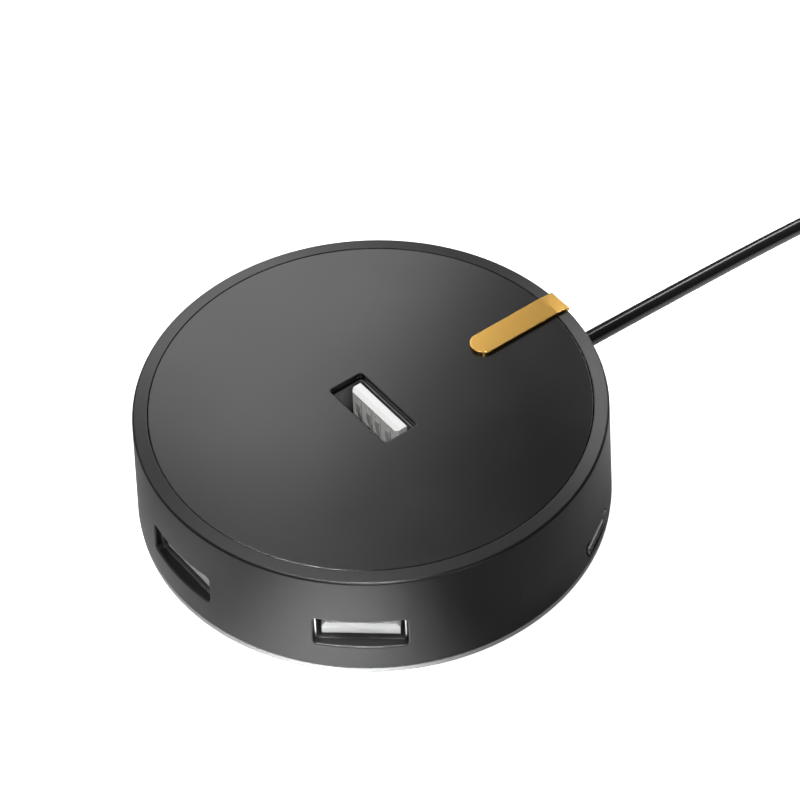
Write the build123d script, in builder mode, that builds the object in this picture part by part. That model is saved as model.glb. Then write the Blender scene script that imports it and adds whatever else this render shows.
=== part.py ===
from build123d import *

import os
from math import cos, radians, sin, sqrt, tan

# A round USB hub: a puck-shaped case with three USB-A sockets round its wall, one upright in its
# top, a small power inlet, and a fixed cord with its USB-A plug. Millimetres, +Z up. The origin is
# on the table under the middle of the case, and the cord leaves towards +Y.

os.makedirs("parts", exist_ok=True)

# ---- Case ---------------------------------------------------------------------------------
foot_diameter = 70.0  # outside of the wall at its lower edge
rim_taper = 0.55  # how far the wall's outside draws in up to its upper edge
case_height = 19.3  # table to the top plate's upper face
wall = 1.55  # thickness of the wall at the rim
foot_stand = 0.4  # how far the rubber feet lift the base
base_edge = 1.16  # height of the pale edge under the wall
base_inset = 0.1  # how far the pale edge stands back from the wall
base_chamfer = 0.3
floor_thickness = 1.8
roof_thickness = 1.3
ring_width = 2.2  # bevelled ring round the plate's recess
plate_thickness = 1.2
plate_clearance = 0.05
adhesive_thickness = 0.15
adhesive_margin = 1.5
bevel_drop = 0.2  # how far the ring round the plate slopes down to the rim
rim_chamfer = 0.25
lip_round = 0.25  # round on the outer edges of the openings in the wall
edge_round = 0.15  # small rounds on the plate's edges
spigot_clearance = 0.1  # base cover inside the wall
rib_width = 1.2
rib_height = 0.6

# ---- Gold strip ---------------------------------------------------------------------------
tab_width = 4.1
tab_thickness = 0.5
tab_x = 1.05
tab_inner_radius = 17.9
tab_edge_round = 0.1

# ---- Circuit board ------------------------------------------------------------------------
pcb_thickness = 1.6
pcb_clearance = 1.1  # board edge to the inside of the wall
post_diameter = 4.0
post_spots = ((13.0, 19.6), (-13.0, 19.6), (9.5, -20.4), (-9.5, -20.4))
post_pin_diameter = 1.6
post_pin_height = 1.0
pin_clearance = 0.1
pin_stick_out = 1.1
controller_size = (10.2, 5.3, 1.75)
controller_spot = (-17.0, 6.0)
controller_stand = 0.1
lead_pitch = 0.65
lead_width = 0.25
lead_thickness = 0.15
lead_span = 7.8
crystal_size = (11.0, 4.6, 3.6)
crystal_spot = (-17.0, -4.0)
capacitor_diameter = 6.3
capacitor_height = 5.8
capacitor_base = (6.6, 6.6, 0.8)
capacitor_spot = (17.0, -3.0)
fuse_size = (4.5, 3.2, 0.8)
fuse_spot = (17.0, 5.0)
chip_length = 1.6  # small capacitors and resistors
chip_width = 0.8
resistor_height = 0.5

# ---- USB-A sockets ------------------------------------------------------------------------
mouth_width = 12.5
mouth_height = 5.12
mouth_corner = 0.35
socket_wall = 0.25
socket_length = 13.2  # of the side sockets
tongue_width = 11.1
tongue_thickness = 1.84
tongue_back_gap = 0.68  # between the tongue's back and the shell
tongue_recess = 0.45  # tip of a side socket's tongue behind its shell's mouth
tongue_corner = 0.5  # corners on the contact side of the tongue
nose_run = 0.75  # the tip slopes over this much of its end face
nose_drop = 0.25
block_depth = 4.0  # the insulator's solid back
block_clearance = 0.05
contact_offsets = (-3.5, -1.0, 1.0, 3.5)
contact_width = 1.0
contact_thickness = 0.3
contact_rise = 0.25  # the sprung bow stands this far over the tongue
slot_width = 1.3
slot_depth = 0.6
slot_start = 0.3  # slots begin this far behind the tongue's tip
pin_reach = 0.7  # pins stand this far behind a side socket
leg_width = 1.5
leg_setback = 6.0  # legs of a side socket behind its mouth
spring_x = 3.0  # the two sprung leaves stand this far from the shell's middle
spring_setback = 5.4
spring_width = 1.4
spring_length = 4.4
spring_cut = 0.4
side_z = 8.58  # middle of the side sockets above the table
side_mouth_setback = 1.25  # mouth of a side socket inside the wall's upper edge
side_hole_width = 13.4
side_hole_height = 5.05
side_hole_corner = 0.7
pocket_clearance = 0.1
port_spacing = 50.0  # degrees between the side sockets
top_port_x = 1.0
top_port_y = -0.3
top_port_recess = 1.05  # shell's mouth below the plate's face
top_tongue_depth = 0.6  # tip of the top socket's tongue below the plate's face
top_hole_width = 13.3
top_hole_height = 5.75
top_hole_corner = 0.4

# ---- Power inlet --------------------------------------------------------------------------
inlet_angle = 31.0  # degrees from +X
inlet_width = 7.5
inlet_height = 2.4
inlet_wall = 0.25
inlet_length = 5.0
inlet_setback = 0.15  # mouth behind the outside of the wall
inlet_below_board = 0.69  # inlet's middle below the board's
inlet_tongue_width = 5.6
inlet_tongue_thickness = 0.65
inlet_tongue_recess = 0.1
inlet_block = 1.5
inlet_hole_clearance = 0.2
inlet_contact_pitch = 0.9
inlet_contact_width = 0.35
inlet_contact_thickness = 0.15

# ---- Screws and feet ----------------------------------------------------------------------
boss_diameter = 5.0
boss_inset = 4.4  # middles of the bosses inside the wall
boss_angles = (58.0, 122.0, -115.0, -65.0)
boss_gap = 0.2  # boss end above the floor
notch_clearance = 0.4
screw_diameter = 2.0
screw_length = 7.5
screw_head_diameter = 3.8
screw_hole_clearance = 0.3
screw_sink = 0.1
driver_width = 2.1  # across the cross recess in a screw's head
thread_clearance = 0.02
foot_pad_diameter = 9.0
foot_pad_thickness = 1.0
foot_pad_inset = 8.5  # middles of the feet inside the wall's foot
foot_pad_angles = (35.0, 145.0, -35.0, -145.0)
pad_clearance = 0.05

# ---- Cord ---------------------------------------------------------------------------------
cord_diameter = 2.5
bore_clearance = 0.05  # round the cord in the clamp and the grommet
grommet_diameter = 5.0
grommet_flange_diameter = 7.0
grommet_flange = 1.1
grommet_setback = 0.15
clamp_width = 18.0
clamp_depth = 4.0
clamp_y = 25.8
clamp_thickness = 2.4
clamp_screw_x = 6.3
clamp_screw_length = 6.9
clamp_head_diameter = 3.4
clamp_head_height = 1.1
screw_tip_gap = 0.3  # pilot holes go this much deeper than their screws
board_notch_width = 19.2
board_notch_y = 22.9
wire_diameter = 0.7
wire_spacing = 0.96  # centre to centre inside the sheath
wire_bend = 1.2
header_width = 10.0
header_depth = 4.6
header_height = 5.6
header_y = 14.6
header_pitch = 2.0
header_wire_height = 2.6  # above the board

# The lead's route from inside the case to the coil, and the tail's from the coil to the plug
lead_route = [
    (0.0, 23.6, 6.9),
    (0.0, 46.0, 6.4),
    (0.0, 80.0, 5.05),
    (0.0, 100.0, 2.9),
    (0.0, 110.5, 1.5),
]
tail_route = [
    (0.0, 114.5, 8.75),
    (0.0, 120.5, 8.6),
    (0.0, 130.0, 4.3),
    (0.0, 138.0, 4.0),
]
coil_turns_across = 3
coil_layers = 4
coil_middle_radius = 12.5
coil_centre_y = 112.0
tie_width = 8.0
tie_thickness = 0.8

plug_width = 15.6
plug_height = 8.0
plug_corner = 2.0
plug_body_length = 24.0
plug_neck_length = 8.0
plug_neck_diameter = 5.6
plug_groove = 0.5  # depth of the grooves round the neck
plug_seat = 4.0  # the shell's length inside the overmould
plug_shell_width = 12.0
plug_shell_height = 4.5
plug_shell_length = 12.0
plug_shell_wall = 0.3
plug_insulator_height = 1.95
plug_insulator_setback = 0.3
plug_pad_thickness = 0.2
plug_pad_length = 7.0
plug_pad_setback = 1.2
plug_window = 2.2
plug_window_setback = 5.2
plug_corner_round = 0.5

# ---- Levels and radii that follow from the sizes above -------------------------------------
base_z = foot_stand
wall_z = base_z + base_edge
floor_z = base_z + floor_thickness
rim_z = case_height - bevel_drop
seat_z = case_height - plate_thickness - adhesive_thickness
roof_z = seat_z - roof_thickness
foot_radius = foot_diameter / 2
rim_radius = foot_radius - rim_taper
cavity_radius = rim_radius - wall
recess_radius = rim_radius - ring_width
plate_radius = recess_radius - plate_clearance
boss_radius = cavity_radius - boss_inset
foot_pad_radius = foot_radius - foot_pad_inset
side_mouth_radius = rim_radius - side_mouth_setback
side_outer_height = mouth_height + 2 * socket_wall
pcb_top = side_z - side_outer_height / 2
pcb_bottom = pcb_top - pcb_thickness
pcb_radius = cavity_radius - pcb_clearance
inlet_z = (pcb_top + pcb_bottom) / 2 - inlet_below_board
cord_radius = cord_diameter / 2
cord_start = lead_route[0]
lead_slope = (lead_route[1][2] - cord_start[2]) / (lead_route[1][1] - cord_start[1])
clamp_z = cord_start[2] + lead_slope * (clamp_y - cord_start[1])
grommet_z = cord_start[2] + lead_slope * (cavity_radius - cord_start[1])
coil_reach = coil_turns_across * cord_radius
coil_start_radius = coil_middle_radius + coil_reach
coil_outer_radius = coil_start_radius + cord_radius
coil_inner_radius = coil_middle_radius - coil_reach - cord_radius
coil_height = coil_layers * cord_diameter
sink_depth = (screw_head_diameter - screw_diameter) / 2
slope = (foot_radius - rim_radius) / (rim_z - wall_z)


def wall_radius(z):
    """Outside radius of the tapered wall at a height."""
    return foot_radius - slope * (z - wall_z)


def off_wall(point):
    """How far a point lies from the outside of the tapered wall."""
    return abs(sqrt(point.X**2 + point.Y**2) - wall_radius(point.Z))


def polar(radius, angle):
    """A point in plan, from a radius and an angle in degrees."""
    return radius * cos(radians(angle)), radius * sin(radians(angle))


def outward_plane(radius, angle, z):
    """A plane that faces out of the wall, with its Y axis up."""
    x, y = polar(radius, angle)
    across = (-sin(radians(angle)), cos(radians(angle)), 0)
    return Plane(origin=(x, y, z), x_dir=across, z_dir=(*polar(1, angle), 0))


def save(piece, name):
    """Label a finished piece and write it to its STEP file."""
    piece.part.label = name
    export_step(piece.part, f"parts/{name}.step")


# ---- Where the sockets stand ---------------------------------------------------------------
side_angles = {
    "port_front_left": -90 - port_spacing,
    "port_front": -90,
    "port_front_right": -90 + port_spacing,
}
side_ports = {
    name: outward_plane(side_mouth_radius, angle, side_z) for name, angle in side_angles.items()
}
top_mouth_z = case_height - top_port_recess
top_port = Plane(origin=(top_port_x, top_port_y, top_mouth_z), x_dir=(-1, 0, 0), z_dir=(0, 0, 1))
top_length = top_mouth_z - pcb_top
inlet_mouth_radius = wall_radius(inlet_z) - inlet_setback
inlet_plane = outward_plane(inlet_mouth_radius, inlet_angle, inlet_z)

# Heights across a socket's mouth, from its middle towards the contact side
tongue_y = -mouth_height / 2 + tongue_back_gap + tongue_thickness / 2
contact_face = tongue_y + tongue_thickness / 2
slot_floor = contact_face - slot_depth
contact_y = slot_floor + contact_thickness / 2
pin_y = pcb_bottom - pin_stick_out - side_z


def socket_shell(plane, length, upright):
    """A sheet-metal sleeve with two sprung leaves, and two legs that pass through the board."""
    leg_x = mouth_width / 2 + socket_wall / 2
    leg_end = pcb_thickness + pin_stick_out
    lid_origin = plane.origin + plane.y_dir * side_outer_height / 2
    lid = Plane(origin=lid_origin, x_dir=plane.x_dir, z_dir=plane.y_dir)
    with BuildPart() as shell:
        with BuildSketch(plane):
            RectangleRounded(
                mouth_width + 2 * socket_wall, side_outer_height, mouth_corner + socket_wall
            )
        extrude(amount=-length)
        if upright:
            with BuildSketch(plane.offset(-length)):
                with Locations((-leg_x, 0), (leg_x, 0)):
                    Rectangle(socket_wall, leg_width)
            extrude(amount=-leg_end)
        else:
            leg_height = side_outer_height / 2 + leg_end
            with BuildSketch(plane.offset(-leg_setback)):
                with Locations((-leg_x, -leg_height / 2), (leg_x, -leg_height / 2)):
                    Rectangle(socket_wall, leg_height)
            extrude(amount=-leg_width)
        with BuildSketch(plane):
            RectangleRounded(mouth_width, mouth_height, mouth_corner)
        extrude(amount=-length, mode=Mode.SUBTRACT)
        with BuildSketch(lid):
            with Locations((-spring_x, spring_setback), (spring_x, spring_setback)):
                Rectangle(spring_width + 2 * spring_cut, spring_length)
            with Locations(
                (-spring_x, spring_setback + spring_cut), (spring_x, spring_setback + spring_cut)
            ):
                Rectangle(spring_width, spring_length, mode=Mode.SUBTRACT)
        extrude(amount=-socket_wall, mode=Mode.SUBTRACT)
    return shell


def socket_tongue(plane, length, recess):
    """The insulator: a solid back that fills the shell and a slotted tongue."""
    side = tongue_width / 2
    back = contact_face - tongue_thickness
    with BuildPart() as tongue:
        with BuildSketch(plane.offset(-length)):
            RectangleRounded(
                mouth_width - 2 * block_clearance,
                mouth_height - 2 * block_clearance,
                mouth_corner - block_clearance,
            )
        extrude(amount=block_depth)
        with BuildSketch(plane.offset(-length)):
            Polygon(
                (-side, back), (side, back),
                (side, contact_face - tongue_corner), (side - tongue_corner, contact_face),
                (tongue_corner - side, contact_face), (-side, contact_face - tongue_corner),
                align=None,
            )
        extrude(amount=length - recess)
        tip_face = tongue.faces().sort_by(Axis(plane.origin, plane.z_dir))[-1]
        nose = tip_face.edges().sort_by(Axis(plane.origin, plane.y_dir))[-1]
        chamfer(nose, nose_run, nose_drop, reference=tip_face)
        with BuildSketch(plane.offset(-recess - slot_start)):
            with Locations(*[(x, contact_face - slot_depth / 2) for x in contact_offsets]):
                Rectangle(slot_width, slot_depth)
        extrude(amount=recess + slot_start - length, mode=Mode.SUBTRACT)
    return tongue


def socket_contacts(plane, length, recess, upright):
    """Four sprung strips in the slots, with pins that pass through the board."""
    tip = -recess - slot_start - 0.25
    bow = contact_face + contact_rise - contact_thickness / 2
    route = [(tip, contact_y), (tip - 1.0, bow), (tip - 2.2, bow), (tip - 5.0, contact_y)]
    if upright:
        route.append((-length - pcb_thickness - pin_stick_out, contact_y))
    else:
        route += [(-length - pin_reach, contact_y), (-length - pin_reach, pin_y)]
    side = Plane(origin=plane.origin, x_dir=plane.z_dir, z_dir=plane.z_dir.cross(plane.y_dir))
    with BuildPart() as contacts:
        for offset in contact_offsets:
            with BuildSketch(side.offset(offset)):
                with BuildLine():
                    Polyline(*route)
                trace(line_width=contact_thickness)
            extrude(amount=contact_width / 2, both=True)
    return contacts


def inlet_outline(grow):
    """The power inlet's D-shaped outline, grown or shrunk all round."""
    side = inlet_width / 2
    top = inlet_height / 2
    with BuildSketch() as outline:
        Polygon(
            (-side, top), (side, top), (side, 0), (side - top / 2, -top), (top / 2 - side, -top),
            (-side, 0),
            align=None,
        )
        if grow:
            offset(amount=grow, kind=Kind.INTERSECTION)
    return outline.sketch


# ---- Upper shell ---------------------------------------------------------------------------
with BuildPart() as upper_shell:
    with BuildSketch(Plane.XZ) as shell_profile:
        with BuildLine():
            Polyline(
                (0, seat_z),
                (recess_radius, seat_z),
                (recess_radius, case_height),
                (rim_radius - rim_chamfer, rim_z),
                (rim_radius, rim_z - rim_chamfer),
                (foot_radius, wall_z),
                (cavity_radius, wall_z),
                (cavity_radius, roof_z),
                (0, roof_z),
                close=True,
            )
        make_face()
    revolve(axis=Axis.Z)
    with BuildSketch(Plane.XY.offset(floor_z + boss_gap)):
        with Locations(*[polar(boss_radius, angle) for angle in boss_angles]):
            Circle(boss_diameter / 2)
    extrude(amount=roof_z - floor_z - boss_gap)
    with BuildSketch(Plane.XY.offset(floor_z + boss_gap)):
        with Locations(*[polar(boss_radius, angle) for angle in boss_angles]):
            Circle(screw_diameter / 2 + thread_clearance)
    extrude(amount=screw_length, mode=Mode.SUBTRACT)
    # The upright socket passes through the roof.
    with BuildSketch(top_port):
        RectangleRounded(
            mouth_width + 2 * socket_wall + 2 * pocket_clearance,
            side_outer_height + 2 * pocket_clearance,
            mouth_corner + socket_wall,
        )
    extrude(amount=-top_length, mode=Mode.SUBTRACT)
    for plane in side_ports.values():
        with BuildSketch(plane):
            RectangleRounded(side_hole_width, side_hole_height, side_hole_corner)
        extrude(amount=2 * wall + slope * case_height, mode=Mode.SUBTRACT)
        with BuildSketch(plane):
            Rectangle(
                mouth_width + 2 * socket_wall + 2 * pocket_clearance,
                side_outer_height + 2 * pocket_clearance,
            )
        extrude(amount=-2 * wall, mode=Mode.SUBTRACT)
    with BuildSketch(inlet_plane.offset(2 * inlet_setback)):
        add(inlet_outline(inlet_hole_clearance))
    extrude(amount=-inlet_length, mode=Mode.SUBTRACT)
    with BuildSketch(Plane.XZ.offset(-cavity_radius)):
        with Locations((0, grommet_z)):
            Circle(grommet_diameter / 2)
    extrude(amount=2 * wall, both=True, mode=Mode.SUBTRACT)
    lips = upper_shell.edges().filter_by(
        lambda edge: edge.geom_type != GeomType.LINE and off_wall(edge.center()) < lip_round / 2
    )
    fillet(lips, lip_round)
save(upper_shell, "upper_shell")

with BuildPart() as top_plate:
    with BuildSketch(Plane.XY.offset(case_height)):
        Circle(plate_radius)
    extrude(amount=-plate_thickness)
    with BuildSketch(Plane(origin=(top_port_x, top_port_y, case_height))):
        RectangleRounded(top_hole_width, top_hole_height, top_hole_corner)
    extrude(amount=-plate_thickness, mode=Mode.SUBTRACT)
    upper_face = top_plate.faces().sort_by(Axis.Z)[-1]
    fillet(upper_face.edges(), edge_round)
save(top_plate, "top_plate")

with BuildPart() as plate_adhesive:
    with BuildSketch(Plane.XY.offset(seat_z)):
        Circle(plate_radius - adhesive_margin)
        with Locations((top_port_x, top_port_y)):
            Rectangle(
                top_hole_width + 2 * adhesive_margin,
                top_hole_height + 2 * adhesive_margin,
                mode=Mode.SUBTRACT,
            )
    extrude(amount=adhesive_thickness)
save(plate_adhesive, "plate_adhesive")

# ---- Gold strip: flat on the plate, then down the bevel to the rim ---------------------------
bevel_run = rim_radius - rim_chamfer - recess_radius
tab_end = rim_radius
tab_end_z = case_height - bevel_drop * (tab_end - recess_radius) / bevel_run
with BuildPart() as gold_tab:
    with BuildSketch(Plane.YZ.offset(tab_x - tab_width / 2)):
        with BuildLine():
            Polyline(
                (tab_inner_radius, case_height),
                (recess_radius, case_height),
                (tab_end, tab_end_z),
                (tab_end, tab_end_z + tab_thickness),
                (recess_radius, case_height + tab_thickness),
                (tab_inner_radius, case_height + tab_thickness),
                close=True,
            )
        make_face()
    extrude(amount=tab_width)
    with BuildSketch(Plane.XY.offset(case_height)):
        with Locations((tab_x, tab_inner_radius + tab_width / 4)):
            Rectangle(tab_width, tab_width / 2)
        with Locations((tab_x, tab_inner_radius + tab_width / 2)):
            Circle(tab_width / 2, mode=Mode.SUBTRACT)
    extrude(amount=tab_thickness, mode=Mode.SUBTRACT)
    upper_faces = gold_tab.faces().filter_by(lambda face: face.normal_at().Z > 0.9)
    fold_gap = tab_edge_round
    outline = upper_faces.edges().filter_by(
        lambda edge: abs(edge.center().Y - recess_radius) > fold_gap
    )
    fillet(outline, tab_edge_round)
save(gold_tab, "gold_tab")

# ---- Base cover ----------------------------------------------------------------------------
with BuildPart() as base_cover:
    spigot_radius = cavity_radius - spigot_clearance
    with BuildSketch(Plane.XZ):
        with BuildLine():
            Polyline(
                (0, base_z),
                (foot_radius - base_inset - base_chamfer, base_z),
                (foot_radius - base_inset, base_z + base_chamfer),
                (foot_radius - base_inset, wall_z),
                (spigot_radius, wall_z),
                (spigot_radius, floor_z + rib_height),
                (spigot_radius - rib_width, floor_z + rib_height),
                (spigot_radius - rib_width, floor_z),
                (0, floor_z),
                close=True,
            )
        make_face()
    revolve(axis=Axis.Z)
    # Posts carry the board, and their pins locate it.
    with BuildSketch(Plane.XY.offset(floor_z)):
        with Locations(*post_spots):
            Circle(post_diameter / 2)
    extrude(amount=pcb_bottom - floor_z)
    with BuildSketch(Plane.XY.offset(pcb_bottom)):
        with Locations(*post_spots):
            Circle(post_pin_diameter / 2)
    extrude(amount=post_pin_height)
    # The saddle that the cord is clamped in
    with BuildSketch(Plane.XY.offset(floor_z)):
        with Locations((0, clamp_y)):
            Rectangle(clamp_width, clamp_depth)
    extrude(amount=clamp_z - floor_z)
    with BuildSketch(Plane.XZ.offset(-clamp_y)):
        with Locations((0, clamp_z)):
            Circle(cord_radius + bore_clearance)
    extrude(amount=clamp_depth, both=True, mode=Mode.SUBTRACT)
    with BuildSketch(Plane.XY.offset(clamp_z)):
        with Locations((-clamp_screw_x, clamp_y), (clamp_screw_x, clamp_y)):
            Circle(screw_diameter / 2 + thread_clearance)
    extrude(amount=clamp_thickness - clamp_screw_length - screw_tip_gap, mode=Mode.SUBTRACT)
    # Countersunk screw holes and the recesses of the feet, from below
    for x, y in [polar(boss_radius, angle) for angle in boss_angles]:
        with BuildSketch(Plane(origin=(x, y, 0), x_dir=(1, 0, 0), z_dir=(0, -1, 0))):
            with BuildLine():
                Polyline(
                    (0, base_z),
                    (screw_head_diameter / 2, base_z),
                    (screw_head_diameter / 2, base_z + screw_sink),
                    (screw_diameter / 2, base_z + screw_sink + sink_depth),
                    (screw_diameter / 2 + thread_clearance, floor_z),
                    (0, floor_z),
                    close=True,
                )
            make_face()
        revolve(axis=Axis((x, y, 0), (0, 0, 1)), mode=Mode.SUBTRACT)
    with BuildSketch(Plane.XY.offset(base_z)):
        with Locations(*[polar(foot_pad_radius, angle) for angle in foot_pad_angles]):
            Circle(foot_pad_diameter / 2 + pad_clearance)
    extrude(amount=foot_pad_thickness - foot_stand, mode=Mode.SUBTRACT)
save(base_cover, "base_cover")

with BuildPart() as rubber_feet:
    with BuildSketch():
        with Locations(*[polar(foot_pad_radius, angle) for angle in foot_pad_angles]):
            Circle(foot_pad_diameter / 2)
    extrude(amount=foot_pad_thickness)
    fillet(rubber_feet.faces().filter_by(Axis.Z).group_by(Axis.Z)[0].edges(), foot_stand / 2)
save(rubber_feet, "rubber_feet")

with BuildPart() as base_screws:
    head_z = base_z + screw_sink
    for x, y in [polar(boss_radius, angle) for angle in boss_angles]:
        with BuildSketch(Plane(origin=(x, y, 0), x_dir=(1, 0, 0), z_dir=(0, -1, 0))):
            with BuildLine():
                Polyline(
                    (0, head_z),
                    (screw_head_diameter / 2, head_z),
                    (screw_diameter / 2, head_z + sink_depth),
                    (screw_diameter / 2, head_z + screw_length - screw_diameter / 2),
                    (screw_diameter / 4, head_z + screw_length),
                    (0, head_z + screw_length),
                    close=True,
                )
            make_face()
        revolve(axis=Axis((x, y, 0), (0, 0, 1)))
        with BuildSketch(Plane(origin=(x, y, head_z), x_dir=(1, 0, 0), z_dir=(0, 0, -1))):
            Rectangle(driver_width, driver_width / 3)
            Rectangle(driver_width / 3, driver_width)
        extrude(amount=-sink_depth, mode=Mode.SUBTRACT)
save(base_screws, "base_screws")

# ---- Circuit board -------------------------------------------------------------------------
pin_spots = [
    plane.from_local_coords((offset, 0, -socket_length - pin_reach))
    for plane in side_ports.values()
    for offset in contact_offsets
] + [top_port.from_local_coords((offset, contact_y, 0)) for offset in contact_offsets]
leg_offset = mouth_width / 2 + socket_wall / 2
inlet_notch_inner = inlet_mouth_radius - inlet_length - inlet_contact_pitch
with BuildPart() as main_pcb:
    with BuildSketch(Plane.XY.offset(pcb_bottom)):
        Circle(pcb_radius)
        with Locations((0, board_notch_y + pcb_radius / 2)):
            Rectangle(board_notch_width, pcb_radius, mode=Mode.SUBTRACT)
        with Locations(*[polar(boss_radius, angle) for angle in boss_angles]):
            Circle(boss_diameter / 2 + notch_clearance, mode=Mode.SUBTRACT)
        with Locations(*post_spots):
            Circle(post_pin_diameter / 2 + pin_clearance, mode=Mode.SUBTRACT)
        with Locations(*[(spot.X, spot.Y) for spot in pin_spots]):
            Circle(contact_width / 2 + pin_clearance, mode=Mode.SUBTRACT)
        for name, plane in side_ports.items():
            for side in (-leg_offset, leg_offset):
                spot = plane.from_local_coords((side, 0, -leg_setback - leg_width / 2))
                with Locations(Location((spot.X, spot.Y, 0), (0, 0, side_angles[name]))):
                    Rectangle(
                        leg_width + 2 * pin_clearance,
                        socket_wall + 2 * pin_clearance,
                        mode=Mode.SUBTRACT,
                    )
        with Locations((top_port_x - leg_offset, top_port_y), (top_port_x + leg_offset, top_port_y)):
            Rectangle(
                socket_wall + 2 * pin_clearance, leg_width + 2 * pin_clearance, mode=Mode.SUBTRACT
            )
        notch = polar(inlet_notch_inner + pcb_radius / 2, inlet_angle)
        with Locations(Location((*notch, 0), (0, 0, inlet_angle))):
            Rectangle(pcb_radius, inlet_width + 2 * notch_clearance, mode=Mode.SUBTRACT)
    extrude(amount=pcb_thickness)
save(main_pcb, "main_pcb")

# ---- Sockets -------------------------------------------------------------------------------
sockets = [
    (name, plane, socket_length, tongue_recess, False) for name, plane in side_ports.items()
]
sockets.append(("port_top", top_port, top_length, top_tongue_depth - top_port_recess, True))
for name, plane, length, recess, upright in sockets:
    save(socket_shell(plane, length, upright), f"{name}_shell")
    save(socket_tongue(plane, length, recess), f"{name}_tongue")
    save(socket_contacts(plane, length, recess, upright), f"{name}_contacts")

# ---- Power inlet ---------------------------------------------------------------------------
ear_y = pcb_top - inlet_z
inlet_contact_offsets = [(step - 2) * inlet_contact_pitch for step in range(5)]
with BuildPart() as power_inlet_shell:
    with BuildSketch(inlet_plane):
        add(inlet_outline(0))
    extrude(amount=-inlet_length)
    # Ears on both sides stand on the board, beside its notch.
    with BuildSketch(inlet_plane.offset(-inlet_length / 2)):
        for side in (-1, 1):
            with Locations((side * (inlet_width / 2 - inlet_wall / 2), ear_y / 2)):
                Rectangle(inlet_wall, ear_y)
            with Locations((side * (inlet_width / 2 + notch_clearance), ear_y + inlet_wall / 2)):
                Rectangle(4 * notch_clearance, inlet_wall)
    extrude(amount=-inlet_length / 2)
    with BuildSketch(inlet_plane):
        add(inlet_outline(-inlet_wall))
    extrude(amount=-inlet_length, mode=Mode.SUBTRACT)
save(power_inlet_shell, "power_inlet_shell")

inlet_contact_y = -(inlet_tongue_thickness + inlet_contact_thickness) / 2
with BuildPart() as power_inlet_tongue:
    with BuildSketch(inlet_plane.offset(-inlet_length)):
        add(inlet_outline(-inlet_wall - block_clearance))
    extrude(amount=inlet_block)
    with BuildSketch(inlet_plane.offset(-inlet_length)):
        Rectangle(inlet_tongue_width, inlet_tongue_thickness)
    extrude(amount=inlet_length - inlet_tongue_recess)
    with BuildSketch(inlet_plane.offset(-inlet_length)):
        with Locations(*[(x, inlet_contact_y) for x in inlet_contact_offsets]):
            Rectangle(inlet_contact_width + 2 * block_clearance, inlet_contact_thickness)
    extrude(amount=inlet_block, mode=Mode.SUBTRACT)
save(power_inlet_tongue, "power_inlet_tongue")

with BuildPart() as power_inlet_contacts:
    back = -inlet_length - inlet_contact_pitch / 2
    pad_y = ear_y + inlet_contact_thickness / 2
    across = inlet_plane.z_dir.cross(inlet_plane.y_dir)
    side = Plane(origin=inlet_plane.origin, x_dir=inlet_plane.z_dir, z_dir=across)
    for offset in inlet_contact_offsets:
        with BuildSketch(side.offset(offset)):
            with BuildLine():
                Polyline(
                    (-inlet_tongue_recess - 2 * inlet_wall, inlet_contact_y),
                    (back, inlet_contact_y),
                    (back, pad_y),
                    (back - 2 * inlet_contact_pitch, pad_y),
                )
            trace(line_width=inlet_contact_thickness)
        extrude(amount=inlet_contact_width / 2, both=True)
save(power_inlet_contacts, "power_inlet_contacts")

# ---- Components on the board ---------------------------------------------------------------
board = Plane.XY.offset(pcb_top)
controller_x, controller_y = controller_spot
controller_length, controller_width, controller_height = controller_size
with BuildPart() as hub_controller:
    with BuildSketch(board.offset(controller_stand)):
        with Locations(controller_spot):
            Rectangle(controller_length, controller_width)
    extrude(amount=controller_height)
    chamfer(hub_controller.faces().sort_by(Axis.Z)[-1].edges(), 0.2)
save(hub_controller, "hub_controller")

with BuildPart() as controller_leads:
    lead_top = pcb_top + controller_stand + controller_height / 2
    lead_foot = pcb_top + lead_thickness / 2
    for step in range(14):
        lead_x = controller_x + (step - 6.5) * lead_pitch
        for side in (-1, 1):
            with BuildSketch(Plane.YZ.offset(lead_x)):
                with BuildLine():
                    Polyline(
                        (controller_y + side * controller_width / 2, lead_top),
                        (controller_y + side * (controller_width / 2 + 0.4), lead_top),
                        (controller_y + side * (lead_span / 2 - 0.6), lead_foot),
                        (controller_y + side * lead_span / 2, lead_foot),
                    )
                trace(line_width=lead_thickness)
            extrude(amount=lead_width / 2, both=True)
save(controller_leads, "controller_leads")

crystal_length, crystal_width, crystal_height = crystal_size
with BuildPart() as crystal:
    with BuildSketch(board):
        with Locations(crystal_spot):
            SlotOverall(crystal_length, crystal_width)
    extrude(amount=crystal_height)
    fillet(crystal.faces().sort_by(Axis.Z)[-1].edges(), 0.4)
save(crystal, "crystal")

capacitor_x, capacitor_y = capacitor_spot
base_length, base_width, base_height = capacitor_base
with BuildPart() as bulk_capacitor:
    with BuildSketch(board):
        with Locations(capacitor_spot):
            Rectangle(base_length, base_width)
    extrude(amount=base_height)
    with BuildSketch(board.offset(base_height)):
        with Locations(capacitor_spot):
            Circle(capacitor_diameter / 2)
    extrude(amount=capacitor_height - base_height)
    fillet(bulk_capacitor.faces().sort_by(Axis.Z)[-1].edges(), 0.5)
save(bulk_capacitor, "bulk_capacitor")

fuse_length, fuse_width, fuse_height = fuse_size
with BuildPart() as resettable_fuse:
    with BuildSketch(board):
        with Locations(fuse_spot):
            Rectangle(fuse_length, fuse_width)
    extrude(amount=fuse_height)
save(resettable_fuse, "resettable_fuse")

with BuildPart() as smd_capacitors:
    with BuildSketch(board):
        with Locations((14.5, 11.0)):
            with GridLocations(2 * chip_length, 3 * chip_width, 3, 2):
                Rectangle(chip_length, chip_width)
        with Locations((-25.0, 4.0)):
            with GridLocations(2 * chip_length, 3 * chip_width, 1, 3):
                Rectangle(chip_length, chip_width)
    extrude(amount=chip_width)
save(smd_capacitors, "smd_capacitors")

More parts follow.
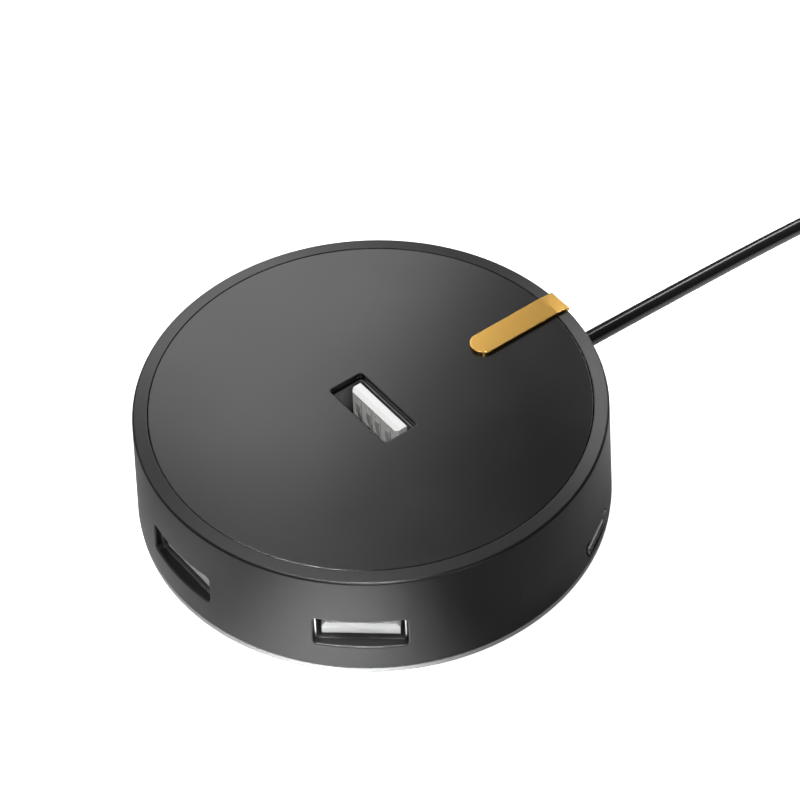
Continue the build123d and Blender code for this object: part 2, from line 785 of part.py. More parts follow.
with BuildPart() as smd_resistors:
    with BuildSketch(board):
        with Locations((-15.0, 13.5)):
            with GridLocations(2 * chip_length, 3 * chip_width, 4, 2):
                Rectangle(chip_length, chip_width)
        with Locations((0, -9.0)):
            with GridLocations(2 * chip_length, 3 * chip_width, 4, 1):
                Rectangle(chip_length, chip_width)
    extrude(amount=resistor_height)
save(smd_resistors, "smd_resistors")

with BuildPart() as wire_header:
    with BuildSketch(board):
        with Locations((0, header_y)):
            Rectangle(header_width, header_depth)
    extrude(amount=header_height)
    chamfer(wire_header.faces().sort_by(Axis.Z)[-1].edges(), 0.3)
save(wire_header, "wire_header")

# ---- Wires from the header to the sheath: where each starts across it, and where it ends ------
header_face = header_y + header_depth / 2
half_spacing = wire_spacing / 2
wire_z = pcb_top + header_wire_height
wires = {
    "wire_red": (-1.5 * header_pitch, -half_spacing, half_spacing),
    "wire_white": (-0.5 * header_pitch, -half_spacing, -half_spacing),
    "wire_green": (0.5 * header_pitch, half_spacing, -half_spacing),
    "wire_black": (1.5 * header_pitch, half_spacing, half_spacing),
}
for name, (wire_x, end_x, end_rise) in wires.items():
    with BuildPart() as wire:
        with BuildLine():
            FilletPolyline(
                (wire_x, header_face, wire_z),
                (wire_x, header_face + 2 * wire_bend, wire_z),
                (end_x, cord_start[1] - 1.5 * wire_bend, cord_start[2] + end_rise),
                (end_x, cord_start[1], cord_start[2] + end_rise),
                radius=wire_bend,
            )
        with BuildSketch(Plane.XZ.offset(-header_face)):
            with Locations((wire_x, wire_z)):
                Circle(wire_diameter / 2)
        sweep()
    save(wire, name)

# ---- Grommet and clamp ---------------------------------------------------------------------
flange_y = sqrt(cavity_radius**2 - (grommet_flange_diameter / 2) ** 2)
grommet_end = wall_radius(grommet_z) - grommet_setback
with BuildPart() as cable_grommet:
    with BuildSketch(Plane.XZ.offset(-flange_y)):
        with Locations((0, grommet_z)):
            Circle(grommet_flange_diameter / 2)
    extrude(amount=grommet_flange)
    with BuildSketch(Plane.XZ.offset(-flange_y)):
        with Locations((0, grommet_z)):
            Circle(grommet_diameter / 2)
    extrude(amount=flange_y - grommet_end)
    fillet(cable_grommet.faces().sort_by(Axis.Y)[-1].edges(), 0.3)
    with BuildSketch(Plane.XZ.offset(-flange_y)):
        with Locations((0, grommet_z)):
            Circle(cord_radius + bore_clearance)
    extrude(amount=grommet_diameter, both=True, mode=Mode.SUBTRACT)
save(cable_grommet, "cable_grommet")

with BuildPart() as cable_clamp:
    with BuildSketch(Plane.XY.offset(clamp_z)):
        with Locations((0, clamp_y)):
            Rectangle(clamp_width, clamp_depth)
        with Locations((-clamp_screw_x, clamp_y), (clamp_screw_x, clamp_y)):
            Circle((screw_diameter + screw_hole_clearance) / 2, mode=Mode.SUBTRACT)
    extrude(amount=clamp_thickness)
    with BuildSketch(Plane.XZ.offset(-clamp_y)):
        with Locations((0, clamp_z)):
            Circle(cord_radius + bore_clearance)
    extrude(amount=clamp_depth, both=True, mode=Mode.SUBTRACT)
save(cable_clamp, "cable_clamp")

with BuildPart() as clamp_screws:
    clamp_top = clamp_z + clamp_thickness
    with BuildSketch(Plane.XY.offset(clamp_top)):
        with Locations((-clamp_screw_x, clamp_y), (clamp_screw_x, clamp_y)):
            Circle(clamp_head_diameter / 2)
    extrude(amount=clamp_head_height)
    fillet(clamp_screws.faces().group_by(Axis.Z)[-1].edges(), 0.4)
    with BuildSketch(Plane.XY.offset(clamp_top)):
        with Locations((-clamp_screw_x, clamp_y), (clamp_screw_x, clamp_y)):
            Circle(screw_diameter / 2)
    extrude(amount=-clamp_screw_length)
    with BuildSketch(Plane.XY.offset(clamp_top + clamp_head_height)):
        with Locations((-clamp_screw_x, clamp_y), (clamp_screw_x, clamp_y)):
            Rectangle(driver_width, driver_width / 3)
            Rectangle(driver_width / 3, driver_width)
    extrude(amount=-clamp_head_height / 2, mode=Mode.SUBTRACT)
save(clamp_screws, "clamp_screws")


# ---- Cord ----------------------------------------------------------------------------------
def cord_tube(route, name):
    """A tube of straight runs joined by arcs as large as the runs allow."""
    points = [Vector(*point) for point in route]
    runs = [after - before for before, after in zip(points, points[1:])]
    radii = [
        0.45 * min(before.length, after.length) / tan(radians(before.get_angle(after) / 2))
        for before, after in zip(runs, runs[1:])
    ]
    with BuildPart() as tube:
        with BuildLine() as path:
            FilletPolyline(*points, radius=radii)
        with BuildSketch(Plane(origin=points[0], x_dir=(1, 0, 0), z_dir=runs[0].normalized())):
            Circle(cord_radius)
        sweep()
    path_length = sum(edge.length for edge in path.edges())
    expected = path_length * tube.faces().sort_by(Axis.Y)[0].area
    print(name, "radii", [round(radius, 1) for radius in radii], "length", round(path_length, 1))
    print(name, "volume", round(tube.part.volume, 2), "section times length", round(expected, 2))
    save(tube, name)


cord_tube(lead_route, "cord_lead")
cord_tube(tail_route, "cord_tail")

with BuildPart() as cord_coil:
    with BuildSketch():
        with Locations((coil_start_radius, coil_centre_y)):
            Circle(coil_outer_radius)
            Circle(coil_inner_radius, mode=Mode.SUBTRACT)
    extrude(amount=coil_height)
save(cord_coil, "cord_coil")

with BuildPart() as coil_tie:
    tie_x = coil_start_radius + coil_middle_radius
    coil_section = coil_outer_radius - coil_inner_radius
    with BuildSketch(Plane.XZ.offset(-coil_centre_y)):
        with Locations((tie_x, (coil_height + tie_thickness) / 2)):
            RectangleRounded(
                coil_section + 2 * tie_thickness, coil_height + tie_thickness, 2 * tie_thickness
            )
            Rectangle(coil_section, coil_height - tie_thickness, mode=Mode.SUBTRACT)
    extrude(amount=tie_width / 2, both=True)
save(coil_tie, "coil_tie")

# ---- Plug: it lies on the table, and its shell points away from the hub ----------------------
plug_rear_y = tail_route[-1][1]
plug_z = tail_route[-1][2]
plug_rear = Plane(origin=(0, plug_rear_y, plug_z), x_dir=(-1, 0, 0), z_dir=(0, 1, 0))
plug_face = plug_rear.offset(plug_neck_length + plug_body_length)
plug_tip = plug_face.offset(plug_shell_length)
with BuildPart() as plug_overmould:
    with BuildSketch(plug_rear):
        Circle(plug_neck_diameter / 2)
    extrude(amount=plug_neck_length)
    for step in (1, 2, 3):
        with BuildSketch(plug_rear.offset(step * plug_neck_length / 4)):
            Circle(plug_neck_diameter / 2)
            Circle(plug_neck_diameter / 2 - plug_groove, mode=Mode.SUBTRACT)
        extrude(amount=plug_neck_length / 10, mode=Mode.SUBTRACT)
    with BuildSketch(plug_rear.offset(plug_neck_length)):
        RectangleRounded(plug_width, plug_height, plug_corner)
    extrude(amount=plug_body_length)
    body_ends = plug_overmould.faces().filter_by(Axis.Y).group_by(SortBy.AREA)
    fillet(body_ends[-1].edges().filter_by(GeomType.LINE), plug_corner_round)
    with BuildSketch(plug_face):
        Rectangle(plug_shell_width, plug_shell_height)
    extrude(amount=-plug_seat, mode=Mode.SUBTRACT)
save(plug_overmould, "plug_overmould")

insulator_y = (plug_insulator_height - plug_shell_height) / 2 + plug_shell_wall
with BuildPart() as plug_shell:
    with BuildSketch(plug_tip):
        Rectangle(plug_shell_width, plug_shell_height)
        inner_width = plug_shell_width - 2 * plug_shell_wall
        Rectangle(inner_width, plug_shell_height - 2 * plug_shell_wall, mode=Mode.SUBTRACT)
    extrude(amount=-plug_shell_length - plug_seat)
    with BuildSketch(Plane.XY.offset(plug_z)):
        for x in (-spring_x, spring_x):
            with Locations((x, plug_tip.origin.Y - plug_window_setback)):
                Rectangle(plug_window, plug_window)
    extrude(amount=plug_shell_height, both=True, mode=Mode.SUBTRACT)
save(plug_shell, "plug_shell")

insulator_front = plug_tip.offset(-plug_insulator_setback)
pad_y = insulator_y + plug_insulator_height / 2 - plug_pad_thickness / 2
with BuildPart() as plug_insulator:
    with BuildSketch(insulator_front):
        with Locations((0, insulator_y)):
            Rectangle(inner_width, plug_insulator_height)
    extrude(amount=plug_insulator_setback - plug_shell_length - plug_seat)
    with BuildSketch(insulator_front.offset(-plug_pad_setback)):
        with Locations(*[(x, pad_y) for x in contact_offsets]):
            Rectangle(contact_width + 2 * block_clearance, plug_pad_thickness)
    extrude(amount=-plug_pad_length, mode=Mode.SUBTRACT)
save(plug_insulator, "plug_insulator")

with BuildPart() as plug_contacts:
    with BuildSketch(insulator_front.offset(-plug_pad_setback)):
        with Locations(*[(x, pad_y) for x in contact_offsets]):
            Rectangle(contact_width, plug_pad_thickness)
    extrude(amount=-plug_pad_length)
save(plug_contacts, "plug_contacts")
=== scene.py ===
import logging
import math
from collections.abc import Callable, Iterable, Sequence
from dataclasses import dataclass
from enum import Enum

import bmesh
import bpy
from mathutils import Matrix, Vector


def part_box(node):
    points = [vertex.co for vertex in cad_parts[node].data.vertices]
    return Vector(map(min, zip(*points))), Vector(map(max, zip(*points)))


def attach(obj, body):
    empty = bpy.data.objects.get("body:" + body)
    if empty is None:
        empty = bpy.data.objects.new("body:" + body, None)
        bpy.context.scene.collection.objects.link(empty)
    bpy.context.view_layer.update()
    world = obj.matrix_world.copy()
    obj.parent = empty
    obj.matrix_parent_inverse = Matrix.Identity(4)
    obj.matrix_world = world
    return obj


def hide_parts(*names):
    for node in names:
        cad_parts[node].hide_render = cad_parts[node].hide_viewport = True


LOG = logging.getLogger("usb_hub")
MM = 0.001
NUMBER = "NodeSocketFloat"
COUNT = "NodeSocketInt"
PLACE = "NodeSocketVector"
WHITE = (1.0, 1.0, 1.0, 1.0)
Colour = tuple[float, float, float]
Point = tuple[float, float, float]
Section = tuple[float, float, float, float]


# ---- Node trees ------------------------------------------------------------------------------
class NodeBench:
    """Short calls for adding and joining the nodes of one tree."""

    def __init__(self, tree: bpy.types.NodeTree) -> None:
        """Keep the tree.

        Args:
            tree: The tree of a material or of a node group.
        """
        self.tree = tree

    def add(self, kind: str, inputs: dict | None = None, **settings: object) -> bpy.types.Node:
        """Add a node.

        Args:
            kind: The node's type name.
            inputs: Values of its sockets, by name or by number.
            settings: The node's own properties.

        Returns:
            The new node.
        """
        node = self.tree.nodes.new(kind)
        for name, value in settings.items():
            setattr(node, name, value)
        for key, value in (inputs or {}).items():
            node.inputs[key].default_value = value
        return node

    def join(self, source: bpy.types.NodeSocket, target: bpy.types.NodeSocket) -> None:
        """Link one socket to another."""
        self.tree.links.new(source, target)

    def math(self, operation: str, first: object, second: object = 0.0) -> bpy.types.NodeSocket:
        """Add a Math node whose operands are sockets or numbers.

        Args:
            operation: The Math node's operation.
            first: A socket or a number.
            second: A socket or a number.

        Returns:
            The result's socket.
        """
        node = self.add("ShaderNodeMath", operation=operation)
        for index, value in enumerate((first, second)):
            if isinstance(value, bpy.types.NodeSocket):
                self.join(value, node.inputs[index])
            else:
                node.inputs[index].default_value = value
        return node.outputs[0]

    def span(self, value: bpy.types.NodeSocket, low: float, high: float) -> bpy.types.NodeSocket:
        """Stretch a value from 0..1 to low..high.

        Args:
            value: The socket that gives the value.
            low: What 0 becomes.
            high: What 1 becomes.

        Returns:
            The stretched value's socket.
        """
        node = self.add("ShaderNodeMapRange", inputs={"To Min": low, "To Max": high})
        self.join(value, node.inputs["Value"])
        return node.outputs["Result"]


def shader_group(
    name: str,
    inputs: dict[str, float],
    outputs: dict[str, str],
    fill: Callable[[NodeBench, bpy.types.Node, bpy.types.Node], None],
) -> bpy.types.NodeTree:
    """Build a shared shader group once.

    Args:
        name: The group's name.
        inputs: Its number inputs and their default values.
        outputs: Its outputs and their socket types.
        fill: Puts the nodes between the group's two ends.

    Returns:
        The group's tree.
    """
    if name in bpy.data.node_groups:
        return bpy.data.node_groups[name]
    tree = bpy.data.node_groups.new(name, "ShaderNodeTree")
    for label, value in inputs.items():
        socket = tree.interface.new_socket(label, in_out="INPUT", socket_type="NodeSocketFloat")
        socket.default_value = value
    for label, kind in outputs.items():
        tree.interface.new_socket(label, in_out="OUTPUT", socket_type=kind)
    bench = NodeBench(tree)
    fill(bench, bench.add("NodeGroupInput"), bench.add("NodeGroupOutput"))
    return tree


def fill_grain(bench: NodeBench, start: bpy.types.Node, end: bpy.types.Node) -> None:
    """Fine spark-eroded grain of a mould, with soft patches of sheen over it.

    Args:
        bench: The group's tree.
        start: Its inputs.
        end: Its outputs.
    """
    place = bench.add("ShaderNodeTexCoord").outputs["Object"]
    fine = bench.add("ShaderNodeTexNoise", inputs={"Detail": 3.0, "Roughness": 0.6})
    bench.join(place, fine.inputs["Vector"])
    bench.join(start.outputs["Scale"], fine.inputs["Scale"])
    broad = bench.add("ShaderNodeTexNoise", inputs={"Scale": 45.0, "Detail": 4.0})
    bench.join(place, broad.inputs["Vector"])
    bench.join(fine.outputs["Fac"], end.inputs["Height"])
    bench.join(bench.span(broad.outputs["Fac"], -0.5, 0.5), end.inputs["Patches"])


def fill_brushed(bench: NodeBench, start: bpy.types.Node, end: bpy.types.Node) -> None:
    """Fine lines of rolled or brushed metal, drawn out along one axis.

    Args:
        bench: The group's tree.
        start: Its inputs.
        end: Its outputs.
    """
    place = bench.add("ShaderNodeTexCoord").outputs["Object"]
    mapping = bench.add("ShaderNodeMapping")
    bench.join(place, mapping.inputs["Vector"])
    stretch = bench.add("ShaderNodeCombineXYZ")
    for axis in ("X", "Y", "Z"):
        bench.join(start.outputs["Scale " + axis], stretch.inputs[axis])
    bench.join(stretch.outputs["Vector"], mapping.inputs["Scale"])
    lines = bench.add("ShaderNodeTexNoise", inputs={"Scale": 1.0, "Detail": 5.0, "Roughness": 0.7})
    bench.join(mapping.outputs["Vector"], lines.inputs["Vector"])
    bench.join(lines.outputs["Fac"], end.inputs["Height"])
    bench.join(bench.span(lines.outputs["Fac"], -0.5, 0.5), end.inputs["Patches"])


def fill_soft_edge(bench: NodeBench, start: bpy.types.Node, end: bpy.types.Node) -> None:
    """Rounded shading across sharp edges, and a mask of where those edges are, used to paint a
    highlight into the colour.

    Args:
        bench: The group's tree.
        start: Its inputs.
        end: Its outputs.
    """
    bevel = bench.add("ShaderNodeBevel", samples=4)
    bench.join(start.outputs["Radius"], bevel.inputs["Radius"])
    bench.join(bevel.outputs["Normal"], end.inputs["Normal"])
    plain = bench.add("ShaderNodeNewGeometry").outputs["Normal"]
    facing = bench.add("ShaderNodeVectorMath", operation="DOT_PRODUCT")
    bench.join(bevel.outputs["Normal"], facing.inputs[0])
    bench.join(plain, facing.inputs[1])
    turned = bench.math("SUBTRACT", 1.0, facing.outputs["Value"])
    edge = bench.math("MINIMUM", bench.math("MULTIPLY", turned, 6.0), 1.0)
    bench.join(edge, end.inputs["Edge"])


class Texture(Enum):
    """The surface textures that finishes choose from."""

    GRAIN = "grain"
    BRUSHED = "brushed"


def texture_group(texture: Texture) -> bpy.types.NodeTree:
    """The shared group of a texture, made when it is first asked for.

    Args:
        texture: The kind of texture.

    Returns:
        The group's tree.
    """
    outputs = {"Height": NUMBER, "Patches": NUMBER}
    if texture is Texture.GRAIN:
        return shader_group("Moulded grain", {"Scale": 2500.0}, outputs, fill_grain)
    scales = {"Scale X": 400.0, "Scale Y": 400.0, "Scale Z": 400.0}
    return shader_group("Brushed lines", scales, outputs, fill_brushed)


def soft_edge_group() -> bpy.types.NodeTree:
    """The shared group that rounds the shading of edges."""
    outputs = {"Normal": PLACE, "Edge": NUMBER}
    return shader_group("Soft edges", {"Radius": 0.0002}, outputs, fill_soft_edge)


# ---- Finishes --------------------------------------------------------------------------------
@dataclass(frozen=True)
class Finish:
    """One material: its colour and gloss, its texture, and how its edges catch light.

    Attributes:
        name: The material's name.
        colour: Its colour, linear.
        roughness: The middle of its roughness.
        metallic: 1 on bare metal.
        specular: Strength of the reflection on what isn't metal.
        coat: Weight of a clear coat.
        texture: The kind of fine texture.
        scale: The texture's scale along X, Y and Z, per metre; grain uses the first.
        relief: Depth of the texture's bump, in metres.
        patchiness: How far roughness and tone stray over the surface.
        edge_radius: Radius that edges are shaded with, in metres, or 0.
        painted_edge_highlight: Painted highlight: how much lighter the colour is along the edges.
    """

    name: str
    colour: Colour
    roughness: float
    metallic: float = 0.0
    specular: float = 0.5
    coat: float = 0.0
    texture: Texture = Texture.GRAIN
    scale: Point = (2500.0, 2500.0, 2500.0)
    relief: float = 4e-6
    patchiness: float = 0.12
    edge_radius: float = 0.0
    painted_edge_highlight: float = 0.0

    def build(self) -> bpy.types.Material:
        """Make the material, or return it if it has been made.

        Returns:
            The material.
        """
        if self.name in bpy.data.materials:
            return bpy.data.materials[self.name]
        material = bpy.data.materials.new(self.name)
        material.use_nodes = True
        bench = NodeBench(material.node_tree)
        shader = material.node_tree.nodes["Principled BSDF"]
        shader.inputs["Metallic"].default_value = self.metallic
        shader.inputs["Specular IOR Level"].default_value = self.specular
        shader.inputs["Coat Weight"].default_value = self.coat
        texture = bench.add("ShaderNodeGroup", node_tree=texture_group(self.texture))
        for socket, value in zip(texture.inputs, self.scale):
            socket.default_value = value
        patches = texture.outputs["Patches"]
        rough = bench.math("MULTIPLY_ADD", patches, self.patchiness)
        rough.node.inputs[2].default_value = self.roughness
        bench.join(rough, shader.inputs["Roughness"])
        bump = bench.add("ShaderNodeBump", inputs={"Strength": 1.0, "Distance": self.relief})
        bench.join(texture.outputs["Height"], bump.inputs["Height"])
        bench.join(bump.outputs["Normal"], shader.inputs["Normal"])
        tone = self.tone(bench, patches)
        if self.edge_radius:
            edges = bench.add("ShaderNodeGroup", node_tree=soft_edge_group())
            edges.inputs["Radius"].default_value = self.edge_radius
            bench.join(edges.outputs["Normal"], bump.inputs["Normal"])
            # Painted highlight: the colour is made lighter along the edges.
            painted_highlight = bench.math("MULTIPLY", edges.outputs["Edge"], self.painted_edge_highlight)
            tone = bench.math("ADD", tone, painted_highlight)
        colour = bench.add("ShaderNodeVectorMath", operation="SCALE")
        colour.inputs[0].default_value = self.colour
        bench.join(tone, colour.inputs["Scale"])
        bench.join(colour.outputs["Vector"], shader.inputs["Base Color"])
        return material

    def tone(self, bench: NodeBench, patches: bpy.types.NodeSocket) -> bpy.types.NodeSocket:
        """How much lighter or darker the colour is, point by point.

        Args:
            bench: The material's tree.
            patches: The texture's patches.

        Returns:
            The tone's socket.
        """
        socket = bench.math("MULTIPLY_ADD", patches, self.patchiness)
        socket.node.inputs[2].default_value = 1.0
        return socket


# The edge values below lighten the colour along edges, a painted highlight.
CASE_BLACK = Finish(
    "Shell black", (0.0055, 0.0055, 0.0058), 0.34, relief=5e-6,
    edge_radius=0.00025, painted_edge_highlight=0.6,
)
PLATE_BLACK = Finish(
    "Plate black", (0.0045, 0.0045, 0.0047), 0.23, scale=(3500.0,) * 3,
    relief=3e-6, edge_radius=0.0002, painted_edge_highlight=1.0,
)
BASE_PALE = Finish(
    "Base pale", (0.40, 0.405, 0.41), 0.28, relief=2e-6, edge_radius=0.0002,
)
GOLD = Finish(
    "Strip gold", (0.72, 0.425, 0.105), 0.25, metallic=1.0, texture=Texture.BRUSHED,
    scale=(9000.0, 500.0, 500.0), relief=3e-7, patchiness=0.04, edge_radius=0.00015,
    painted_edge_highlight=0.25,
)
FOOT_RUBBER = Finish("Foot rubber", (0.02, 0.02, 0.02), 0.8, specular=0.3, relief=1e-5)
SOCKET_STEEL = Finish(
    "Socket steel", (0.40, 0.40, 0.41), 0.34, metallic=1.0, texture=Texture.BRUSHED,
    scale=(700.0, 700.0, 6000.0), relief=1e-6, edge_radius=0.00008, painted_edge_highlight=0.1,
)
SCREW_STEEL = Finish(
    "Screw steel", (0.5, 0.5, 0.52), 0.35, metallic=1.0, relief=3e-6, edge_radius=0.0001,
)
SOCKET_WHITE = Finish(
    "Socket white", (0.88, 0.885, 0.88), 0.32, relief=2e-6, edge_radius=0.0001,
)
CONTACT_METAL = Finish(
    "Contact metal", (0.90, 0.88, 0.84), 0.42, metallic=0.6, relief=1e-6, edge_radius=0.00005,
)
BOARD_GREEN = Finish(
    "Board green", (0.012, 0.09, 0.035), 0.3, coat=0.4, relief=4e-6, patchiness=0.5,
)
CHIP_BLACK = Finish("Chip black", (0.012, 0.012, 0.013), 0.6, relief=8e-6)
TINNED = Finish("Tinned leads", (0.7, 0.7, 0.69), 0.3, metallic=1.0, relief=2e-6)
CAN_METAL = Finish("Capacitor can", (0.66, 0.66, 0.68), 0.3, metallic=1.0, relief=2e-6)
FUSE_GREEN = Finish("Fuse green", (0.03, 0.14, 0.05), 0.55)
CERAMIC_TAN = Finish("Ceramic tan", (0.3, 0.19, 0.09), 0.5)
HEADER_NYLON = Finish("Header nylon", (0.75, 0.72, 0.62), 0.5)
ADHESIVE = Finish("Adhesive foam", (0.5, 0.47, 0.4), 0.85, relief=2e-5)
WIRE_RED = Finish("Wire red", (0.42, 0.012, 0.01), 0.35)
WIRE_WHITE = Finish("Wire white", (0.75, 0.75, 0.73), 0.35)
WIRE_GREEN = Finish("Wire green", (0.012, 0.2, 0.03), 0.35)
WIRE_BLACK = Finish("Wire black", (0.01, 0.01, 0.01), 0.35)
CORD_BLACK = Finish(
    "Cord black", (0.006, 0.006, 0.0063), 0.22, scale=(1800.0,) * 3, relief=5e-6,
)
PLUG_BLACK = Finish(
    "Plug black", (0.009, 0.009, 0.0095), 0.45, specular=0.4, scale=(3000.0,) * 3, relief=1.2e-5,
)
STRAP_BLACK = Finish(
    "Strap black", (0.012, 0.012, 0.013), 0.85, specular=0.2, scale=(1500.0,) * 3, relief=1.5e-4,
)

NODE_FINISHES = {
    "upper_shell": CASE_BLACK,
    "top_plate": PLATE_BLACK,
    "plate_adhesive": ADHESIVE,
    "gold_tab": GOLD,
    "base_cover": BASE_PALE,
    "rubber_feet": FOOT_RUBBER,
    "base_screws": SCREW_STEEL,
    "clamp_screws": SCREW_STEEL,
    "main_pcb": BOARD_GREEN,
    "hub_controller": CHIP_BLACK,
    "controller_leads": TINNED,
    "crystal": CAN_METAL,
    "bulk_capacitor": CAN_METAL,
    "resettable_fuse": FUSE_GREEN,
    "smd_capacitors": CERAMIC_TAN,
    "smd_resistors": CHIP_BLACK,
    "wire_header": HEADER_NYLON,
    "wire_red": WIRE_RED,
    "wire_white": WIRE_WHITE,
    "wire_green": WIRE_GREEN,
    "wire_black": WIRE_BLACK,
    "cable_grommet": PLUG_BLACK,
    "cable_clamp": CHIP_BLACK,
    "plug_shell": SOCKET_STEEL,
    "plug_insulator": SOCKET_WHITE,
    "plug_contacts": CONTACT_METAL,
    "power_inlet_shell": SOCKET_STEEL,
    "power_inlet_tongue": SOCKET_WHITE,
    "power_inlet_contacts": CONTACT_METAL,
}
for socket_name in ("port_top", "port_front", "port_front_right", "port_front_left"):
    NODE_FINISHES[f"{socket_name}_shell"] = SOCKET_STEEL
    NODE_FINISHES[f"{socket_name}_tongue"] = SOCKET_WHITE
    NODE_FINISHES[f"{socket_name}_contacts"] = CONTACT_METAL


# ---- Mesh helpers ----------------------------------------------------------------------------
def mesh_piece(name: str, builder: bmesh.types.BMesh, finish: Finish) -> bpy.types.Object:
    """Turn a finished bmesh into an object with a material and smooth shading.

    Args:
        name: The piece's name.
        builder: The shape. It is freed.
        finish: What it is dressed in.

    Returns:
        The new object, linked to the scene.
    """
    bmesh.ops.recalc_face_normals(builder, faces=builder.faces)
    mesh = bpy.data.meshes.new(name)
    builder.to_mesh(mesh)
    builder.free()
    mesh.materials.append(finish.build())
    mesh.shade_smooth()
    piece = bpy.data.objects.new(name, mesh)
    bpy.context.scene.collection.objects.link(piece)
    return piece


def sharpen(piece: bpy.types.Object, angle: float) -> None:
    """Keep edges that turn by more than an angle, in degrees, sharp in shading."""
    piece.data.set_sharp_from_angle(angle=math.radians(angle))


# ---- Geometry Nodes ----------------------------------------------------------------------------
@dataclass(frozen=True)
class GrownPiece:
    """A piece that a Geometry Nodes tree makes from named sizes.

    Attributes:
        name: The piece's name.
        sizes: The tree's inputs: socket type and value, by name.
        fill: Puts the nodes between the tree's two ends.
        finish: What the piece is dressed in.
    """

    name: str
    sizes: dict[str, tuple[str, object]]
    fill: Callable[[NodeBench, bpy.types.Node], bpy.types.NodeSocket]
    finish: Finish

    def build(self) -> bpy.types.Object:
        """Run the tree and keep its result as a plain mesh.

        Returns:
            The new object, linked to the scene.
        """
        tree = bpy.data.node_groups.new(self.name, "GeometryNodeTree")
        labels = {}
        for label, (kind, _) in self.sizes.items():
            labels[label] = tree.interface.new_socket(label, in_out="INPUT", socket_type=kind)
        dress = tree.interface.new_socket(
            "Material", in_out="INPUT", socket_type="NodeSocketMaterial"
        )
        tree.interface.new_socket("Geometry", in_out="OUTPUT", socket_type="NodeSocketGeometry")
        bench = NodeBench(tree)
        start, end = bench.add("NodeGroupInput"), bench.add("NodeGroupOutput")
        realize = bench.add("GeometryNodeRealizeInstances")
        paint = bench.add("GeometryNodeSetMaterial")
        bench.join(self.fill(bench, start), realize.inputs["Geometry"])
        bench.join(realize.outputs["Geometry"], paint.inputs["Geometry"])
        bench.join(start.outputs["Material"], paint.inputs["Material"])
        bench.join(paint.outputs["Geometry"], end.inputs["Geometry"])
        seed = bpy.data.objects.new(self.name + "_seed", bpy.data.meshes.new(self.name + "_seed"))
        bpy.context.scene.collection.objects.link(seed)
        modifier = seed.modifiers.new("Nodes", "NODES")
        modifier.node_group = tree
        for label, (_, value) in self.sizes.items():
            modifier[labels[label].identifier] = value
        modifier[dress.identifier] = self.finish.build()
        graph = bpy.context.evaluated_depsgraph_get()
        mesh = bpy.data.meshes.new_from_object(seed.evaluated_get(graph))
        seed.modifiers.remove(modifier)
        bpy.data.objects.remove(seed)
        mesh.name = self.name
        mesh.shade_smooth()
        piece = bpy.data.objects.new(self.name, mesh)
        bpy.context.scene.collection.objects.link(piece)
        return piece


def fill_strap(bench: NodeBench, start: bpy.types.Node) -> bpy.types.NodeSocket:
    """A flat band that follows a rounded rectangle round the coil's section.

    Args:
        bench: The piece's tree.
        start: Its inputs, the named sizes.

    Returns:
        The socket that gives the shape.
    """
    loop = bench.add("GeometryNodeCurvePrimitiveQuadrilateral")
    bench.join(start.outputs["Loop width"], loop.inputs["Width"])
    bench.join(start.outputs["Loop height"], loop.inputs["Height"])
    rounded = bench.add("GeometryNodeFilletCurve", inputs={"Count": 8}, mode="POLY")
    bench.join(loop.outputs["Curve"], rounded.inputs["Curve"])
    bench.join(start.outputs["Corner"], rounded.inputs["Radius"])
    section = bench.add("GeometryNodeCurvePrimitiveQuadrilateral")
    bench.join(start.outputs["Thickness"], section.inputs["Width"])
    bench.join(start.outputs["Band width"], section.inputs["Height"])
    soft = bench.add("GeometryNodeFilletCurve", inputs={"Count": 3}, mode="POLY")
    bench.join(section.outputs["Curve"], soft.inputs["Curve"])
    bench.join(bench.math("MULTIPLY", start.outputs["Thickness"], 0.3), soft.inputs["Radius"])
    band = bench.add("GeometryNodeCurveToMesh")
    bench.join(rounded.outputs["Curve"], band.inputs["Curve"])
    bench.join(soft.outputs["Curve"], band.inputs["Profile Curve"])
    stand = bench.add("GeometryNodeTransform", inputs={"Rotation": (math.pi / 2, 0.0, 0.0)})
    bench.join(band.outputs["Mesh"], stand.inputs["Geometry"])
    bench.join(start.outputs["Centre"], stand.inputs["Translation"])
    return stand.outputs["Geometry"]


def fill_ribs(bench: NodeBench, start: bpy.types.Node) -> bpy.types.NodeSocket:
    """A row of round-topped ribs, set an even pitch apart along Y.

    Args:
        bench: The piece's tree.
        start: Its inputs, the named sizes.

    Returns:
        The socket that gives the shape.
    """
    row = bench.add("GeometryNodeMeshLine", mode="OFFSET")
    bench.join(start.outputs["Count"], row.inputs["Count"])
    bench.join(start.outputs["First"], row.inputs["Start Location"])
    step = bench.add("ShaderNodeCombineXYZ")
    bench.join(start.outputs["Pitch"], step.inputs["Y"])
    bench.join(step.outputs["Vector"], row.inputs["Offset"])
    rod = bench.add("GeometryNodeMeshCylinder", inputs={"Vertices": 16})
    bench.join(start.outputs["Radius"], rod.inputs["Radius"])
    bench.join(start.outputs["Length"], rod.inputs["Depth"])
    ribs = bench.add(
        "GeometryNodeInstanceOnPoints", inputs={"Rotation": (0.0, math.pi / 2, 0.0)}
    )
    bench.join(row.outputs["Mesh"], ribs.inputs["Points"])
    bench.join(rod.outputs["Mesh"], ribs.inputs["Instance"])
    return ribs.outputs["Instances"]


